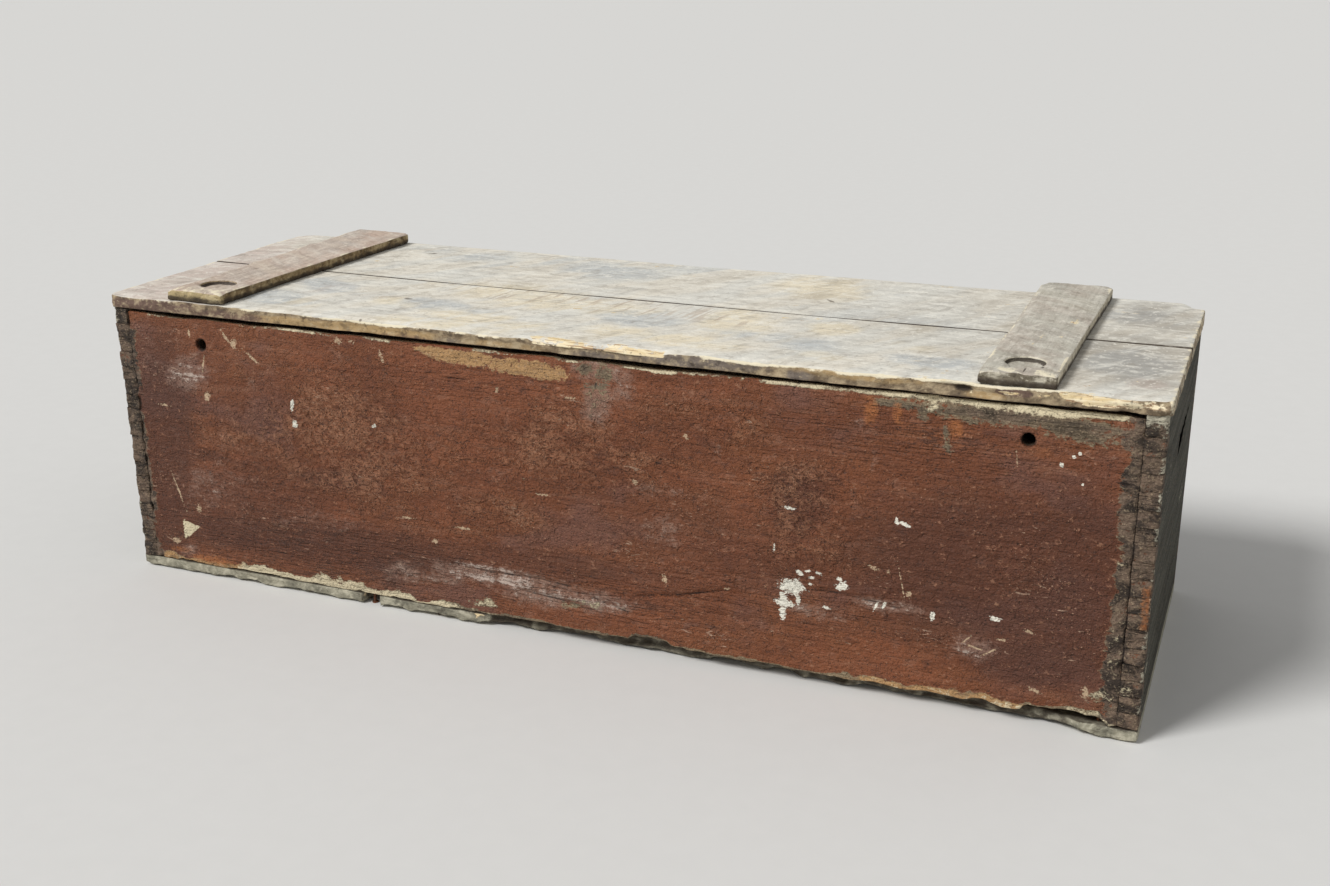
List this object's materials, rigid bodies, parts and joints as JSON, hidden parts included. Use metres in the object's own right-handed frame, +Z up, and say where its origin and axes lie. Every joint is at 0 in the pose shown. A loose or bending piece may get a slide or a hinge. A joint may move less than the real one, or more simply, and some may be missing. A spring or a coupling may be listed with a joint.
{
  "type": "sea chest",
  "caption": "Long low wooden sea chest with comb-jointed corners, a painted front pierced by closing holes, a nailed bottom and a hinged board lid held together by cross battens.",
  "frame": {"origin": "centre of the chest's outline on the floor, under the middle of its length and depth, hinge knuckles and lid edges included", "axes": "+X along the length towards the right-hand end as seen from the front, -Y out of the painted front, +Z up"},
  "size_m": [1.074, 0.3569, 0.3209],
  "materials": {
    "painted_wood": "worn matte red-brown paint over bare wood",
    "carcass_wood": "bare weathered wood",
    "bottom_wood": "bare weathered wood",
    "lid_wood": "bleached weathered wood",
    "iron": "rusted"
  },
  "bodies": {
    "chest": {"front_board": "painted_wood", "back_board": "carcass_wood", "left_end_board": "carcass_wood", "right_end_board": "carcass_wood", "bottom_front_board": "bottom_wood", "bottom_rear_board": "bottom_wood", "bottom_nails": "iron", "hinge_left_lower_leaf": "iron", "hinge_right_lower_leaf": "iron", "hinge_left_pin": "iron", "hinge_right_pin": "iron", "hinge_lower_screws": "iron"},
    "lid": {"lid_front_board": "lid_wood", "lid_rear_board": "lid_wood", "lid_left_batten": "lid_wood", "lid_right_batten": "lid_wood", "batten_nails": "iron", "hinge_left_upper_leaf": "iron", "hinge_right_upper_leaf": "iron", "hinge_upper_screws": "iron"}
  },
  "joints": [
    {"name": "lid_hinge", "type": "hinge", "parent": "chest", "child": "lid", "pos_m": [0, 0.17495, 0.2949], "axis": [-1, 0, 0], "range_deg": [0, 195]}
  ]
}
